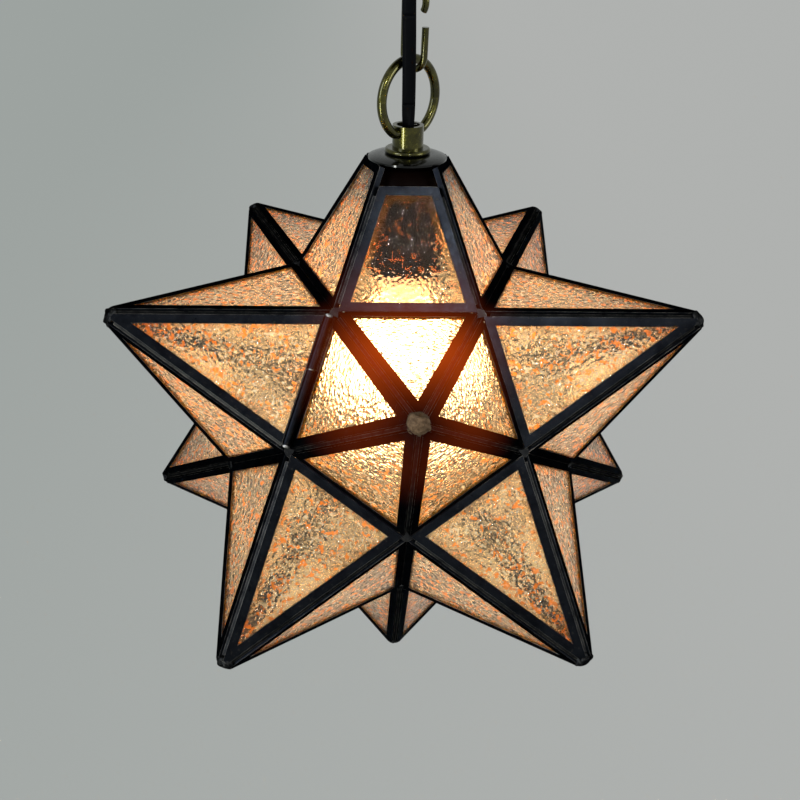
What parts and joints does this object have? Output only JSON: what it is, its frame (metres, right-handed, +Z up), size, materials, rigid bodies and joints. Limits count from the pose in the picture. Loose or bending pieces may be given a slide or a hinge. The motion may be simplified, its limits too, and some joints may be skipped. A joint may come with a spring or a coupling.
{
  "type": "star pendant light",
  "caption": "Pendant lamp shaped as a many pointed glass star in dark metal channels, with a hinged point, hanging by ring, link and cord from a ceiling canopy.",
  "frame": {"origin": "ceiling plane, in the middle of the mounting strap's two screw slots", "axes": "+Z up out of the ceiling; the hinged point faces -Y; +X is to the right of that view"},
  "size_m": [0.2812, 0.2951, 0.4302],
  "materials": {
    "pane_glass": "clear glass with a hammered face",
    "came_patina": "folded brass channel with a black patina",
    "solder": "soft solder with a black patina",
    "bright_steel": "drawn steel rod",
    "cap_patina": "spun brass with a black patina",
    "antique_brass": "antique brass, brushed",
    "canopy_brass": "spun antique brass",
    "zinc_steel": "zinc plated steel",
    "black_nylon": "moulded",
    "white_nylon": "moulded",
    "core_insulation": "extruded insulation",
    "cord_sheath": "extruded flat sheath",
    "black_bakelite": "polished moulding",
    "porcelain": "glazed",
    "bright_brass": "pressed brass",
    "bulb_glass": "inside frosted",
    "bulb_aluminium": "rolled thread",
    "black_glass": "cast glass",
    "stem_glass": "clear",
    "tungsten": "coiled wire"
  },
  "bodies": {
    "ceiling": {"canopy": "canopy_brass", "ceiling_strap": "zinc_steel", "ceiling_nipple": "zinc_steel", "strap_nut": "zinc_steel", "canopy_loop": "antique_brass", "cord_bushing": "black_nylon", "terminal_block": "white_nylon", "supply_cores": "core_insulation", "cord": "cord_sheath"},
    "link": {"open_link": "antique_brass"},
    "ring": {"hanging_ring": "antique_brass"},
    "star": {"cames_top": "came_patina", "panes_top": "pane_glass", "cames_bottom": "came_patina", "panes_bottom": "pane_glass", "cames_lower_front_right": "came_patina", "panes_lower_front_right": "pane_glass", "cames_upper_right": "came_patina", "panes_upper_right": "pane_glass", "cames_lower_right": "came_patina", "panes_lower_right": "pane_glass", "cames_upper_back_right": "came_patina", "panes_upper_back_right": "pane_glass", "cames_lower_back": "came_patina", "panes_lower_back": "pane_glass", "cames_upper_back_left": "came_patina", "panes_upper_back_left": "pane_glass", "cames_lower_left": "came_patina", "panes_lower_left": "pane_glass", "cames_upper_left": "came_patina", "panes_upper_left": "pane_glass", "cames_lower_front_left": "came_patina", "panes_lower_front_left": "pane_glass", "tip_caps": "solder", "solder_seams": "solder", "hinge_knuckle_star": "came_patina", "hinge_pin": "bright_steel", "door_stops": "came_patina", "star_cap": "cap_patina", "check_ring": "antique_brass", "collar": "antique_brass", "star_nipple": "zinc_steel", "star_locknut": "zinc_steel", "holder_cores": "core_insulation", "holder_cap": "black_bakelite", "holder_skirt": "black_bakelite", "holder_insulator": "porcelain", "screw_shell": "bright_brass", "centre_contact": "bright_brass"},
    "door": {"door_cames": "came_patina", "door_panes": "pane_glass", "door_tip_cap": "solder", "door_solder": "solder", "hinge_knuckle_door": "came_patina"},
    "bulb": {"bulb_glass": "bulb_glass", "bulb_cap": "bulb_aluminium", "bulb_insulator": "black_glass", "bulb_contact": "solder", "bulb_stem": "stem_glass", "filament": "tungsten"}
  },
  "joints": [
    {"name": "link_swing", "type": "hinge", "parent": "ceiling", "child": "link", "pos_m": [0.00117, 0.00109, -0.05746], "axis": [0.7314, 0.682, 0], "range_deg": [-25, 25], "deforming": ["cord"]},
    {"name": "ring_swing", "type": "hinge", "parent": "link", "child": "ring", "pos_m": [0.00117, 0.00109, -0.08913], "axis": [0.682, -0.7314, 0], "range_deg": [-30, 30], "deforming": ["cord"]},
    {"name": "star_swing", "type": "hinge", "parent": "ring", "child": "star", "pos_m": [0, 0, -0.11743], "axis": [0.7314, 0.682, 0], "range_deg": [-25, 25], "deforming": ["cord"]},
    {"name": "door_hinge", "type": "hinge", "parent": "star", "child": "door", "pos_m": [-0.04639, -0.06386, -0.21715], "axis": [-0.309, -0.4253, -0.8507], "range_deg": [0, 100]},
    {"name": "bulb_turn", "type": "hinge", "parent": "star", "child": "bulb", "pos_m": [0, 0, -0.18713], "axis": [0, 0, 1], "continuous": true}
  ]
}
